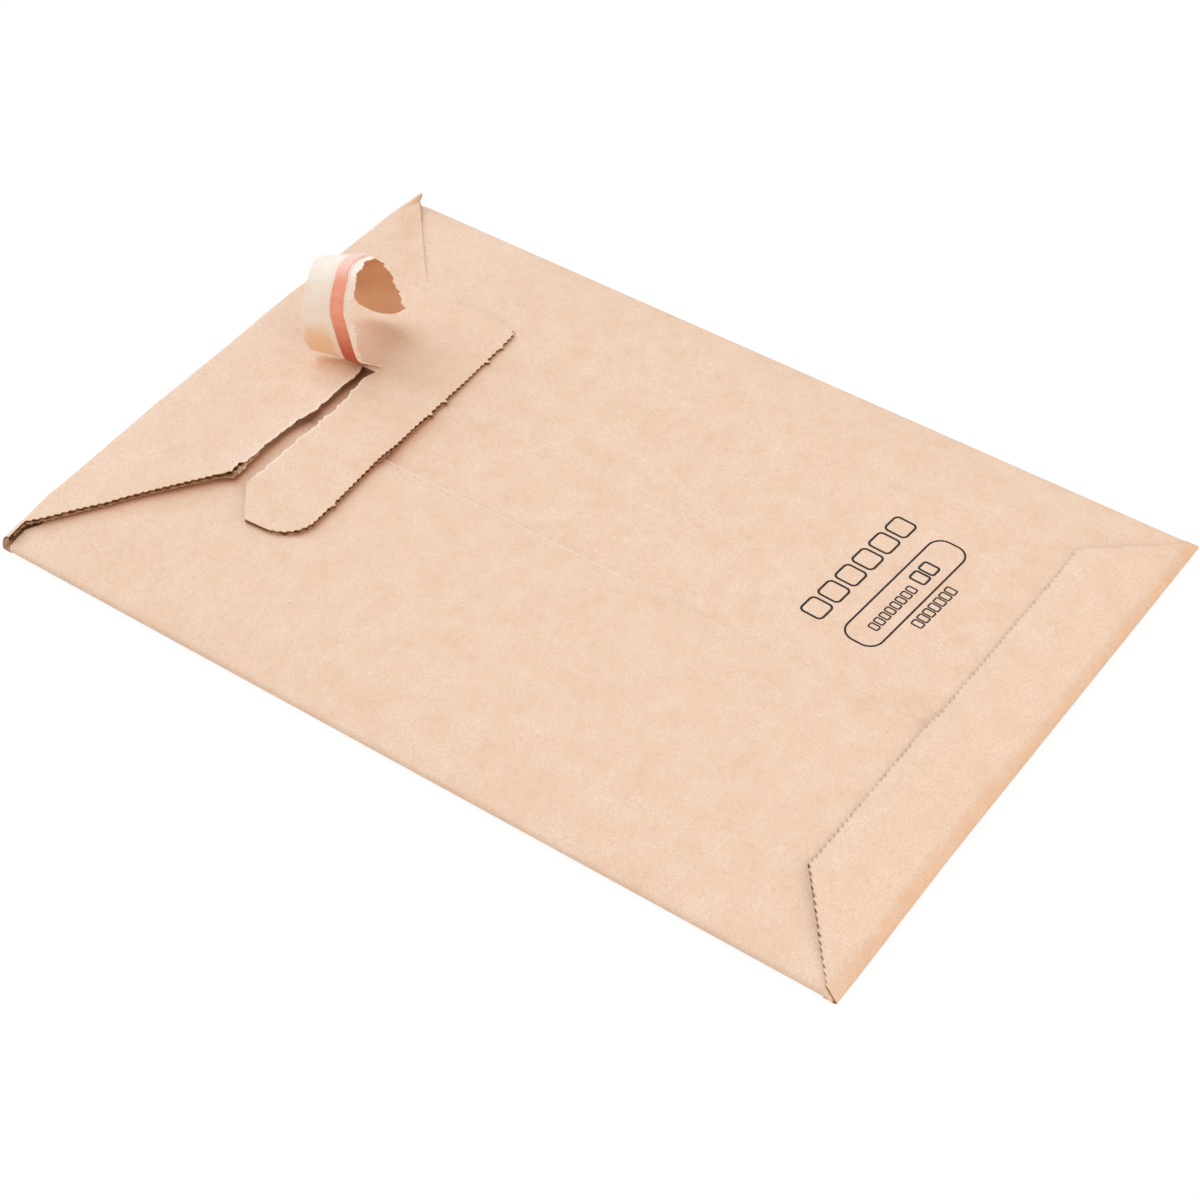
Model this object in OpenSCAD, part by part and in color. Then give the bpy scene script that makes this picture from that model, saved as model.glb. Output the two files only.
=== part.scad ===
// Cardboard mailer of fluted board, lying on its front panel with the closure flap folded over the back.
// X runs across the mailer, Y runs along it towards the mouth, and Z points up.
// The tear strip is pulled open from the near side as far as the tear point, and its torn end is curled.

/* [Mailer] */
// Outer width across the long folds
mailer_w = 186.6; // [175:0.1:200]
// Outer length from the bottom fold to the mouth fold
mailer_l = 266; // [250:1:290]
// Gap between front and back at the long folds
fold_gap = 0.8; // [0.6:0.1:1.4]
// Rise of the far back panel from the long fold to its flat middle
pocket_rise = 4.2; // [3.4:0.1:6]
// Width of the sloping shoulder beside each long fold
shoulder_w = 28; // [20:1:34]

/* [Board] */
// Thickness of each paper liner
liner_t = 0.25; // [0.2:0.05:0.35]
// Height of the fluting between the liners
flute_h = 0.75; // [0.6:0.05:1.1]
// Distance from one flute to the next
flute_pitch = 2.3; // [1.8:0.1:3]
// Thickness of the fluted paper
medium_t = 0.2; // [0.15:0.01:0.25]
// Flat crown at the top and foot of each flute
crown_w = 0.4; // [0.3:0.05:0.5]
// Thickness of each glue film
glue_t = 0.3; // [0.2:0.05:0.5]

/* [Back seam] */
// Distance of the near panel's cut edge from the centre line
seam_offset = 11; // [4:1:16]
// Width over which the two back panels lap
lap_w = 20; // [12:1:26]
// Width over which the flaps come down from the near panel to the far one
drape_w = 37; // [28:1:46]
// Bare border around a glue film
glue_margin = 2; // [1:0.5:4]

/* [End folds] */
// Depth of the rounded fold at the bottom and at the mouth
roll_d = 3; // [2.5:0.1:4]
// Setback of the back panels' edges from the rounded mouth fold
mouth_setback = 3.2; // [1:0.1:6]
// Setback of the back panels' edges from the rounded bottom fold
bottom_setback = 0.3; // [0.2:0.1:2]
// Distance of the end folds' lowest corners from the long edges
corner_inset = 0.5; // [0.2:0.1:2]

/* [Bottom flap] */
// Length of the bottom flap from the bottom fold
bottom_flap_l = 23.8; // [18:0.1:40]
// Distance of the flap's corners from the long edges
bottom_flap_inset = 25.8; // [15:0.1:35]
// Distance of the bottom fold's ends from the long edges
bottom_root_inset = 3.8; // [2:0.1:8]

/* [Closure flap] */
// Distance of the torn edge from the mouth fold
flap_reach = 38.6; // [34:0.1:46]
// Distance of the mouth crease's ends from the long edges
flap_root_inset = 5.7; // [4:0.1:10]
// Distance of the torn edge's near end from the near long edge
flap_near_inset = 55.3; // [44:0.1:70]
// Distance of the far slant's end from the mouth fold
flap_far_slant_d = 32.7; // [28:0.1:34]

/* [Seal tab] */
// Distance of the tab's two ends from the long edges
tab_inset = 38.9; // [32:0.1:44]
// Depth of the tab from the tear strip to its outer edge
tab_d = 23; // [18:0.5:30]
// Radius of the tab's near outer corner
tab_corner_r = 10; // [4:0.5:12]
// Radius of the tab's far outer corner
tab_far_corner_r = 4; // [2:0.5:12]
// Angle by which the tab is stuck down out of square
tab_skew = 3; // [0:0.1:4]
// Length of the slanted cut where the strip was first gripped
grip_cut_l = 13.4; // [8:0.1:18]
// Depth of that slanted cut
grip_cut_d = 6.5; // [3:0.1:8]
// Width of the adhesive stripe
adhesive_w = 12; // [8:0.5:16]

/* [Tear strip] */
// Distance of the tear point from the centre line
tear_x = 16; // [0:0.1:30]
// Width of the strip at its far end
strip_w = 3.7; // [3:0.1:6]
// Gap at each cut, and under the torn end
cut_gap = 0.3; // [0.2:0.05:0.5]
// Thickness of the tear tape
tape_t = 0.15; // [0.1:0.01:0.2]
// Width of the tear tape
tape_w = 2.8; // [2:0.1:3]

/* [Torn end] */
// Length of the torn and curled end
curl_l = 73; // [60:1:80]
// Width of the outer liner that came away with it
curl_w = 16; // [14:0.5:18]
// Width of the fringe beside the tape
fringe_w = 2.4; // [1.6:0.1:2.6]
// Thickness of the crushed core under the tape
core_t = 0.3; // [0.2:0.05:0.4]
// Angle of the peel line across the strip
peel_angle = 9; // [0:1:12]

/* [Hidden] */
$fn = 64;

kraft = [0.85, 0.65, 0.48];
kraft_inside = [0.80, 0.60, 0.42];
medium_brown = [0.70, 0.50, 0.34];
cream = [0.93, 0.84, 0.74];
glue_tone = [0.93, 0.88, 0.72];
tape_red = [0.84, 0.36, 0.24];

board_t = 2 * liner_t + flute_h;
fold_r = fold_gap / 2 + board_t;
half_w = mailer_w / 2;
mouth_y = mailer_l / 2;

// The long folds end, and the back panels start, at this distance from the centre line
tangent_x = half_w - fold_r;
flat_half = tangent_x - shoulder_w;

// Facets of the shoulders are whole flutes wide, so every ply bends at the same places
facet = 2 * flute_pitch;

// Heights of the back panels' inner faces at the long folds, and of the near panel's rise over the lap
back_z = board_t + fold_gap;
near_rise = pocket_rise + board_t + glue_t;
flap_lift = board_t + glue_t;
flap_top_z = back_z + near_rise + flap_lift + board_t;

seam_x = -seam_offset;
lap_x = seam_x - lap_w;
drape_from = ceil(seam_x / facet);
drape_to = drape_from + round(drape_w / facet);
front_y0 = -mouth_y + roll_d;
front_y1 = mouth_y - roll_d - cut_gap;
panel_y0 = -mouth_y + roll_d + bottom_setback;
panel_y1 = mouth_y - roll_d - mouth_setback;

tab_x = half_w - tab_inset;
tab_w = 2 * tab_x;
tab_start_d = flap_reach + strip_w;
bottom_corner_x = half_w - bottom_flap_inset;
bottom_root_x = half_w - bottom_root_inset;
flap_root_x = half_w - flap_root_inset;
flap_near_x = -half_w + flap_near_inset;

// Slope of the back from a long fold to the flat middle, from 0 to 1
function shoulder(x) = sin(90 * min(1, (tangent_x - abs(x)) / shoulder_w));

// The same slope drawn with straight facets
function arch(x) =
    let (k = floor(x / facet), f = x / facet - k)
    (1 - f) * shoulder(k * facet) + f * shoulder((k + 1) * facet);

// Share of a flap's way down from the near half to the far half
function drape(x) = max(0, min(1, (x / facet - drape_from) / (drape_to - drape_from)));

// Rises on the near and the far half, for a ply over one of them and for the flaps over both
over_near = [near_rise, near_rise];
over_far = [pocket_rise, pocket_rise];
over_both = [near_rise, pocket_rise];
level = [0, 0];

function back_height(x, rise, lift) =
    back_z + lift + arch(x) * (rise[0] + (rise[1] - rise[0]) * drape(x));

// Places across the mailer where a ply bends, from x0 to x1
function bends(x0, x1, rise) = concat(
    [x0],
    [
        for (k = [floor(x0 / facet) + 1 : ceil(x1 / facet) - 1])
            let (shoulder_bend = abs(k * facet) > flat_half - facet)
            let (drape_bend = rise[0] != rise[1] && (k == drape_from || k == drape_to))
            if (shoulder_bend || drape_bend) k * facet
    ],
    [x1]
);

// A point at a distance from the mouth fold
function from_mouth(x, d) = [x, mouth_y - d];

// Distance of the tab's torn edge from the mouth fold
function tab_edge_d(x) = tab_start_d + (tab_x - x) * tan(tab_skew);

// A quarter turn round a corner's centre, clockwise from an angle
function corner(centre, r, from) = [
    for (i = [0 : 8]) let (a = from - 90 * i / 8) centre + r * [cos(a), sin(a)]
];

function reversed(list) = [for (i = [len(list) - 1 : -1 : 0]) list[i]];

// Section of a liner or film across the mailer
module sheet_section(x0, x1, rise, lift, t) {
    xs = bends(x0, x1, rise);
    under = [for (x = xs) [x, back_height(x, rise, lift)]];
    over = [for (x = reversed(xs)) [x, back_height(x, rise, lift + t)]];
    polygon(concat(under, over));
}

// Section of the fluting: one flat-crowned wave in each pitch
module flute_section(x0, x1, rise, lift) {
    wave_h = flute_h - medium_t;
    first = ceil(x0 / flute_pitch);
    last = floor(x1 / flute_pitch) - 1;
    steps = [[0, 0], [crown_w, 0], [flute_pitch / 2, wave_h], [flute_pitch / 2 + crown_w, wave_h]];
    wave = concat(
        [for (k = [first : last]) for (s = steps) [k * flute_pitch + s[0], s[1]]],
        [[(last + 1) * flute_pitch, 0]]
    );
    under = [for (p = wave) [p[0], back_height(p[0], rise, lift) + p[1]]];
    over = [for (p = reversed(wave)) [p[0], back_height(p[0], rise, lift) + p[1] + medium_t]];
    polygon(concat(under, over));
}

// Runs a section across the mailer along Y
module along(y0, y1) {
    translate([0, y1, 0]) rotate([90, 0, 0]) linear_extrude(y1 - y0) children();
}

// Keeps what lies inside an outline seen from above
module cut_to_outline() {
    intersection() {
        children(0);
        linear_extrude(2 * flap_top_z) children(1);
    }
}

// The three plies of a panel, each from x0 to x1
module inner_ply(x0, x1, y0, y1, rise, lift) {
    along(y0, y1) sheet_section(x0, x1, rise, lift, liner_t);
}
module flute_ply(x0, x1, y0, y1, rise, lift) {
    along(y0, y1) flute_section(x0, x1, rise, lift + liner_t);
}
module outer_ply(x0, x1, y0, y1, rise, lift) {
    along(y0, y1) sheet_section(x0, x1, rise, lift + liner_t + flute_h, liner_t);
}

// Solid through a row of rings: each goes out along one side of the wall and back along the other
module sweep(rings) {
    n = len(rings);
    m = len(rings[0]);
    sides = [
        for (i = [0 : n - 2]) for (j = [0 : m - 1])
            let (a = i * m + j, b = i * m + (j + 1) % m, c = b + m, d = a + m)
            each j < m / 2 ? [[a, d, c], [a, c, b]] : [[a, d, b], [b, d, c]]
    ];
    start = [for (j = [0 : m / 2 - 2]) each [[j, j + 1, m - 2 - j], [j, m - 2 - j, m - 1 - j]]];
    end = [for (f = start) reversed([for (j = f) (n - 1) * m + j])];
    polyhedron([for (r = rings) each r], concat(start, end, sides), convexity = 6);
}

// Outlines from above
module bottom_flap_outline() {
    y_root = -mouth_y + roll_d;
    y_edge = -mouth_y + bottom_flap_l;
    polygon([
        [-bottom_root_x, y_root], [bottom_root_x, y_root],
        [bottom_corner_x, y_edge], [-bottom_corner_x, y_edge]
    ]);
}
module closure_flap_outline() {
    polygon([
        from_mouth(-flap_root_x, roll_d), from_mouth(flap_near_x, flap_reach),
        from_mouth(tab_x, flap_reach), from_mouth(tab_x, flap_far_slant_d), from_mouth(flap_root_x, roll_d)
    ]);
}
module tear_strip_outline() {
    x0 = tear_x + cut_gap;
    d0 = flap_reach + cut_gap;
    polygon([
        from_mouth(x0, d0), from_mouth(x0, tab_edge_d(x0) - cut_gap),
        from_mouth(tab_x, tab_edge_d(tab_x) - cut_gap), from_mouth(tab_x, d0)
    ]);
}
// The tab is drawn from its far torn corner, along its own edges
module on_tab() {
    translate(from_mouth(tab_x, tab_start_d)) rotate(tab_skew) children();
}
module seal_tab_outline() {
    r = tab_corner_r;
    r_far = tab_far_corner_r;
    on_tab() polygon(concat(
        [[0, 0]],
        corner([-r_far, r_far - tab_d], r_far, 0),
        corner([r - tab_w, r - tab_d], r, -90),
        [[-tab_w, -grip_cut_d], [grip_cut_l - tab_w, 0]]
    ));
}
module seal_adhesive_outline() {
    reach = tab_w - tab_corner_r - max(tab_corner_r, tab_far_corner_r);
    on_tab() translate([-tab_w + tab_corner_r, -tab_d + glue_margin]) square([reach, adhesive_w]);
}

// Front panel
module front_plate(z) {
    translate([-tangent_x, front_y0, z]) cube([2 * tangent_x, front_y1 - front_y0, liner_t]);
}
module front_outer_liner() {
    color(kraft) front_plate(0);
}
module front_fluting() {
    color(medium_brown) flute_ply(-tangent_x, tangent_x, front_y0, front_y1, level, -back_z);
}
module front_inner_liner() {
    color(kraft_inside) front_plate(board_t - liner_t);
}

// Long folds
module side_fold(side) {
    along(panel_y0, front_y1) translate([side * tangent_x, fold_r]) intersection() {
        difference() {
            circle(fold_r);
            circle(fold_gap / 2);
        }
        translate([side > 0 ? 0 : -fold_r, -fold_r]) square([fold_r, 2 * fold_r]);
    }
}
module near_side_fold() {
    color(kraft) side_fold(-1);
}
module far_side_fold() {
    color(kraft) side_fold(1);
}

// Back panels and the lap seam between them
module near_back_inner_liner() {
    color(kraft_inside) inner_ply(-tangent_x, seam_x, panel_y0, panel_y1, over_near, 0);
}
module near_back_fluting() {
    color(medium_brown) flute_ply(-tangent_x, seam_x, panel_y0, panel_y1, over_near, 0);
}
module near_back_outer_liner() {
    color(kraft) outer_ply(-tangent_x, seam_x, panel_y0, panel_y1, over_near, 0);
}
module far_back_inner_liner() {
    color(kraft_inside) inner_ply(lap_x, tangent_x, panel_y0, panel_y1, over_far, 0);
}
module far_back_fluting() {
    color(medium_brown) flute_ply(lap_x, tangent_x, panel_y0, panel_y1, over_far, 0);
}
module far_back_outer_liner() {
    color(kraft) outer_ply(lap_x, tangent_x, panel_y0, panel_y1, over_far, 0);
}
module seam_glue() {
    x0 = lap_x + glue_margin;
    x1 = seam_x - glue_margin;
    color(glue_tone) along(panel_y0 + glue_margin, panel_y1 - glue_margin)
        sheet_section(x0, x1, over_far, board_t, glue_t);
}

// Board folded up at an end of the mailer: a crease on the front panel, then a rounded face up to a flap.
// Its ends slant out from the flap's root to the corners of the front panel.
module end_fold(x_half) {
    steps = 8;
    turn = [for (j = [0 : steps]) 90 * j / steps];
    corner_x = half_w - corner_inset;
    function slant(share) = lookup(share, [[0, corner_x / x_half], [1, 1]]);
    y_in = mouth_y - roll_d;
    inner_d = roll_d - board_t;
    sweep([
        for (x = bends(-x_half, x_half, over_both))
            let (h = back_height(x, over_both, flap_lift) + board_t)
            concat(
                [[x * slant(0), y_in, 0]],
                [for (t = turn) [x * slant(sin(t)), y_in + roll_d * cos(t), h * sin(t)]],
                [
                    for (t = reversed(turn))
                        [x * slant(sin(t)), y_in + inner_d * cos(t), board_t + (h - 2 * board_t) * sin(t)]
                ],
                [[x * slant(0), y_in, board_t]]
            )
    ]);
}

// Bottom fold and the flap glued over the back
module bottom_fold() {
    color(kraft) mirror([0, 1, 0]) end_fold(bottom_root_x);
}
module bottom_flap_inner_liner() {
    color(kraft_inside) cut_to_outline() {
        inner_ply(-bottom_root_x, bottom_root_x, -mouth_y, 0, over_both, flap_lift);
        bottom_flap_outline();
    }
}
module bottom_flap_fluting() {
    color(medium_brown) cut_to_outline() {
        flute_ply(-bottom_root_x, bottom_root_x, -mouth_y, 0, over_both, flap_lift);
        bottom_flap_outline();
    }
}
module bottom_flap_outer_liner() {
    color(kraft) cut_to_outline() {
        outer_ply(-bottom_root_x, bottom_root_x, -mouth_y, 0, over_both, flap_lift);
        bottom_flap_outline();
    }
}
module bottom_flap_glue() {
    y0 = panel_y0 + glue_margin;
    y1 = -mouth_y + bottom_flap_l - glue_margin;
    color(glue_tone) along(y0, y1)
        sheet_section(-bottom_corner_x, bottom_corner_x, over_both, board_t, glue_t);
}

// Closure flap and the crease that it folds on
module mouth_crease() {
    color(kraft) end_fold(flap_root_x);
}
module closure_flap_inner_liner() {
    color(kraft_inside) cut_to_outline() {
        inner_ply(-flap_root_x, flap_root_x, 0, mouth_y, over_both, flap_lift);
        closure_flap_outline();
    }
}
module closure_flap_fluting() {
    color(medium_brown) cut_to_outline() {
        flute_ply(-flap_root_x, flap_root_x, 0, mouth_y, over_both, flap_lift);
        closure_flap_outline();
    }
}
module closure_flap_outer_liner() {
    color(kraft) cut_to_outline() {
        outer_ply(-flap_root_x, flap_root_x, 0, mouth_y, over_both, flap_lift);
        closure_flap_outline();
    }
}

// Seal tab, glued down on the back
module seal_tab_inner_liner() {
    color(kraft_inside) cut_to_outline() {
        inner_ply(-half_w, half_w, 0, mouth_y, over_both, flap_lift);
        seal_tab_outline();
    }
}
module seal_tab_fluting() {
    color(medium_brown) cut_to_outline() {
        flute_ply(-half_w, half_w, 0, mouth_y, over_both, flap_lift);
        seal_tab_outline();
    }
}
module seal_tab_outer_liner() {
    color(kraft) cut_to_outline() {
        outer_ply(-half_w, half_w, 0, mouth_y, over_both, flap_lift);
        seal_tab_outline();
    }
}
module seal_adhesive() {
    color(glue_tone) cut_to_outline() {
        along(0, mouth_y) sheet_section(-half_w, half_w, over_both, board_t, glue_t);
        seal_adhesive_outline();
    }
}

// The part of the tear strip that is not torn yet
module tear_strip_inner_liner() {
    color(kraft_inside) cut_to_outline() {
        inner_ply(0, half_w, 0, mouth_y, over_both, flap_lift);
        tear_strip_outline();
    }
}
module tear_strip_fluting() {
    color(medium_brown) cut_to_outline() {
        flute_ply(0, half_w, 0, mouth_y, over_both, flap_lift);
        tear_strip_outline();
    }
}
module tear_strip_outer_liner() {
    color(kraft) cut_to_outline() {
        outer_ply(0, half_w, 0, mouth_y, over_both, flap_lift);
        tear_strip_outline();
    }
}
module tear_tape() {
    d0 = flap_reach + cut_gap;
    color(tape_red) along(mouth_y - d0 - tape_w, mouth_y - d0)
        sheet_section(tear_x + cut_gap, tab_x, over_both, flap_lift - tape_t, tape_t);
}

// The torn end leaves the tear point, rises, and rolls over to the far side.
// Heading along its length, from 180 for the way back to the near side to 90 for straight up
curl_heading = [[0, 148], [0.2, 97], [0.4, 52], [0.6, -8], [0.8, -80], [1, -80]];
// Lean towards the mouth along its length
curl_lean = [[0, 0], [0.3, 8], [0.6, 22], [1, 31]];
// Where the peel line crosses the edge of the fringe
curl_root = concat(
    from_mouth(tear_x, tab_start_d + fringe_w),
    [back_height(tear_x, over_both, flap_lift + board_t + cut_gap + liner_t)]
);

// The length is walked in even steps, then in shorter ones round the tip
curl_steps = 20;
curl_r = curl_w / 2;
curl_s = concat(
    [for (i = [0 : curl_steps]) (curl_l - curl_r) * i / curl_steps],
    [for (a = [20 : 18.5 : 76]) curl_l - curl_r + curl_r * sin(a)]
);
function heading(s) = lookup(s / curl_l, curl_heading);
function curl_half_w(s) = s <= curl_l - curl_r ? curl_r : sqrt(curl_r ^ 2 - (s - curl_l + curl_r) ^ 2);
function curl_walk(i) = i == 0 ? [[0, 0]] :
    let (
        before = curl_walk(i - 1),
        ds = curl_s[i] - curl_s[i - 1],
        h = heading((curl_s[i] + curl_s[i - 1]) / 2)
    )
    concat(before, [before[i - 1] + ds * [cos(h), sin(h)]]);

// A ribbon of the curl through a row of widths, at a depth under the outer face
module curl_ribbon(widths, depth, t) {
    path = curl_walk(len(curl_s) - 1);
    wall = concat([for (w = widths) [depth, w]], [for (w = reversed(widths)) [depth + t, w]]);
    sweep([
        for (i = [0 : len(curl_s) - 1])
            let (
                s = curl_s[i],
                h = heading(s),
                lean = lookup(s / curl_l, curl_lean),
                taper = curl_half_w(s) / curl_r
            )
            [
                for (c = wall)
                    let (
                        w = curl_r + (c[1] - curl_r) * taper,
                        x = path[i][0] - c[0] * sin(h),
                        z = path[i][1] + c[0] * cos(h)
                    )
                    curl_root + [
                        x - w * sin(peel_angle),
                        z * sin(lean) + w * cos(lean),
                        z * cos(lean) - w * sin(lean)
                    ]
            ]
    ]);
}
// The three plies of the torn end bend at the same widths, so they lie flat on each other
ply_gap = 0.08;
core_depth = liner_t + ply_gap;
tape_depth = core_depth + core_t + ply_gap;
core_border = 0.4;
tape_widths = [fringe_w, fringe_w + strip_w - core_border];
core_widths = concat([fringe_w - core_border], tape_widths);
liner_widths = concat([0], core_widths, [(tape_widths[1] + curl_w) / 2, curl_w]);
module torn_strip_liner() {
    color(cream) curl_ribbon(liner_widths, 0, liner_t);
}
module torn_strip_core() {
    color(cream) curl_ribbon(core_widths, core_depth, core_t);
}
module torn_tear_tape() {
    color(tape_red) curl_ribbon(tape_widths, tape_depth, tape_t);
}

front_outer_liner();
front_fluting();
front_inner_liner();
near_side_fold();
far_side_fold();
near_back_inner_liner();
near_back_fluting();
near_back_outer_liner();
far_back_inner_liner();
far_back_fluting();
far_back_outer_liner();
seam_glue();
bottom_fold();
bottom_flap_inner_liner();
bottom_flap_fluting();
bottom_flap_outer_liner();
bottom_flap_glue();
seal_tab_inner_liner();
seal_tab_fluting();
seal_tab_outer_liner();
seal_adhesive();
closure_flap_inner_liner();
closure_flap_fluting();
closure_flap_outer_liner();
mouth_crease();
tear_strip_inner_liner();
tear_strip_fluting();
tear_strip_outer_liner();
tear_tape();
torn_strip_liner();
torn_strip_core();
torn_tear_tape();
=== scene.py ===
"""Looks of the cardboard mailer: fluted board plies, torn edges, the curled strip and the studio."""
import math

import bmesh
import bpy
import numpy as np
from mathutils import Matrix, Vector, noise


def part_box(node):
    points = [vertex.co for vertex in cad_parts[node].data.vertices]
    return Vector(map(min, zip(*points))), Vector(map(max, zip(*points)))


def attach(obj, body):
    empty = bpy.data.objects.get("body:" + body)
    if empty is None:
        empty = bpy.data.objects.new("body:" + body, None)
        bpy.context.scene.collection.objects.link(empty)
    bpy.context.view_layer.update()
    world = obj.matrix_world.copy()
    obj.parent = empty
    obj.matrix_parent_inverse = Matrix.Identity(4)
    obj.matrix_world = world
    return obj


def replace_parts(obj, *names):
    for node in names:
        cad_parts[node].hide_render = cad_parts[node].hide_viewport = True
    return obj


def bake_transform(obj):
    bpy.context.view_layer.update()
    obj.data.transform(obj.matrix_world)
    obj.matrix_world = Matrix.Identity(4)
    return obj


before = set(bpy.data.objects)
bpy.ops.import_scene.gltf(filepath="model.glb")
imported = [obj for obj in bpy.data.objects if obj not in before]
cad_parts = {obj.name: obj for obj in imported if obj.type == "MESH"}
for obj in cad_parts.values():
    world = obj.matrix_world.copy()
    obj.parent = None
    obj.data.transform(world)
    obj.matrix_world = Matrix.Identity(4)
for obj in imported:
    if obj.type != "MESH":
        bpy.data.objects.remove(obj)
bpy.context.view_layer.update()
MM = 0.001


def span(node):
    """Lowest and highest corner of a CAD node, in millimetres."""
    low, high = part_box(node)
    return low / MM, high / MM


# Board, in millimetres
liner_t = span("front_outer_liner")[1].z
board_t = span("front_inner_liner")[1].z
flute_h = board_t - 2 * liner_t
flute_pitch = 2.3
medium_t = 0.2
ripple = 0.010
tooth_pitch = 2.0
tooth_d = 0.42
burr_w = 0.6

# Pocket
mailer_l = 266.0
tangent_x = span("far_side_fold")[0].x
fold_top = span("far_side_fold")[1].z
fold_gap = 0.8
shoulder_w = 28.0
bottom_slope_w = 27.0
uneven_h = 0.12
near_top = span("near_back_outer_liner")[1].z
far_top = span("far_back_outer_liner")[1].z
seam_x = span("near_back_outer_liner")[1].x
lap_x = span("far_back_outer_liner")[0].x
panel_y0 = span("near_back_outer_liner")[0].y
panel_y1 = span("near_back_outer_liner")[1].y
crush_share = 0.78
crush_w = 4.0

# Mouth corners of the back: the far one is bent up and the near one down
far_rise_h = 2.5
far_rise_x = 84.0
far_rise_w = 8.0
near_dip_h = 2.4
near_dip_x = -66.0
near_dip_w = 17.0
corner_bend_l = 13.0

# End folds and flaps
mouth_y = span("mouth_crease")[1].y
fold_d = mouth_y - span("mouth_crease")[0].y
fold_y = mouth_y - fold_d
corner_x = span("mouth_crease")[1].x
crease_r = 0.5
flap_step = span("closure_flap_outer_liner")[1].z - near_top
flap_root_x = span("closure_flap_outer_liner")[1].x
mouth_near_x = corner_x - 0.2
mouth_far_x = corner_x - 3.0
mouth_press_l = 5.0
flap_edge_y = span("closure_flap_outer_liner")[0].y
flap_far_y = mouth_y - 32.7
far_bend_x = 87.6
far_bend_d = 0.7
bottom_root_x = tangent_x + 0.35
bottom_far_x = corner_x + 2.6
bottom_edge_y = span("bottom_flap_outer_liner")[1].y
bottom_corner_x = 67.5
bottom_press_l = 3.5
bottom_bow = 0.8
drape_x = seam_x - 5.0
drape_w = 13.0

# Glue and tape films
glue_margin = 2.0
film_gap = 0.02
seam_film_t = 0.24
bottom_film_t = 0.1
adhesive_t = 0.17
tape_gap = 0.1
tape_t = 0.15

# Near slant of the closure flap and the torn edge up to the tear point
tear_x = 16.0
torn_corner_x = -42.6
slant_end_x = -45.3
slant_x = [-mouth_near_x, -86.3, -70.0, slant_end_x, torn_corner_x, -20.0, -12.0, 13.5, tear_x]
slant_y = [fold_y, fold_y - 0.1, 114.0, 95.7, 92.8, 93.2, 92.6, 93.2, flap_edge_y]
corner_lift = 0.9
leaf_lift = 0.7
leaf_peel = 0.9

# Seal tab and tear strip
tab_x = span("tear_strip_outer_liner")[1].x
tab_w = 2 * tab_x
tab_d = 23.0
tab_corner_r = 10.0
tab_far_corner_r = 4.0
tab_skew = math.radians(3)
tab_press_l = 3.5
tab_dent_d = 0.6
tab_dent_x = -5.0
tab_dent_w = 16.0
tab_start_y = flap_edge_y - 3.7
adhesive_w = 12.0
grip_corner_u = 12.2 - tab_w
torn_u = [-tab_w, grip_corner_u, -74.0, -60.0, -47.0, -43.0, -38.8, -38.2]
torn_v = [-6.0, 2.5, 1.3, 1.2, 1.9, 2.3, 1.0, 0.0]
nicks_x = [45.0, 37.5, 16.3, 9.3, -37.0]
nick_d = 1.0
nick_w = 0.5
flute_inset = 1.2
inner_inset = 1.8

# Torn end
curl_l = 74.7
chord_l = 71.0
curl_w = 16.0
fringe_w = ([0, 0.15, 0.33, 0.5, 1], [0.5, 1.0, 1.7, 2.9, 2.6])
tape_w = 3.6
curl_tape_w = 4.1
curl_core_depth = (0.60, 0.27)
curl_tape_depth = (0.80, 0.65)
peel_angle = math.radians(13)
curl_root_x = tear_x + 3.0
curl_root_y = tab_start_y - 1.94
curl_lift = 0.3
# Place along the curl, height and width of each cross crease
curl_creases = [(46.0, 0.45, 1.3), (51.5, 0.35, 1.1)]
# Shares of the length up to the curl's tip, with its heading, lean and shift across there
curl_heading = ([0, 0.05, 0.15, 0.24, 0.36, 0.47, 0.58, 0.72, 0.86, 1],
                [142, 138, 106, 88, 81, 57.5, -7, -63.5, -71, -72])
curl_lean = ([0, 0.05, 0.12, 0.34, 0.62, 1], [0, 1.5, 4, 17, 14, 14.8])
curl_drift = ([0, 0.05, 0.24, 0.48, 0.72, 1], [3.8, 3.8, 0.6, -3.2, 0.1, 2.8])

# Painted shade on the back: places across the mailer, and the strength or the width of the shade there
slot_shade = ([-88, -85, -45, -20, 5, 15, 20], [0, 0.55, 0.66, 0.6, 0.75, 0.85, 0])
slot_shade_w = ([-82, -55, -40, -20, 10], [2.6, 4.2, 3, 3, 5])
slot_line_shade = ([-30, -15, 5, 13, 16.5, 18.5], [0, 0.3, 0.55, 0.9, 0.9, 0])
slot_line_w = ([-15, 5, 13], [1.0, 1.3, 4])
tab_shade = ([-40, -15, -10, 5, 20, 45], [0.5, 0.55, 0.65, 0.65, 0.5, 0.45])
tab_shade_w = ([-40, -15, -10, 5, 20, 45], [1.6, 1.8, 3, 2.6, 1.4, 1.1])
far_shade = 0.2
far_shade_w = 1.4


def rgb(red, green, blue):
    """Linear colour of an sRGB one written from 0 to 255."""
    def linear(c):
        c = c / 255
        return c / 12.92 if c <= 0.04045 else ((c + 0.055) / 1.055) ** 2.4
    return (linear(red), linear(green), linear(blue), 1)


# Materials
def connect(tree, value, socket):
    """Links an output to a socket, or sets the socket to a plain value."""
    if isinstance(value, bpy.types.NodeSocket):
        tree.links.new(value, socket)
    else:
        socket.default_value = value


def add(tree, kind, **settings):
    """A shader node with its sockets and properties set by name."""
    made = tree.nodes.new(kind)
    for key, value in settings.items():
        socket = made.inputs.get(key.replace("_", " "))
        if socket is None:
            setattr(made, key, value)
        else:
            connect(tree, value, socket)
    return made


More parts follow.
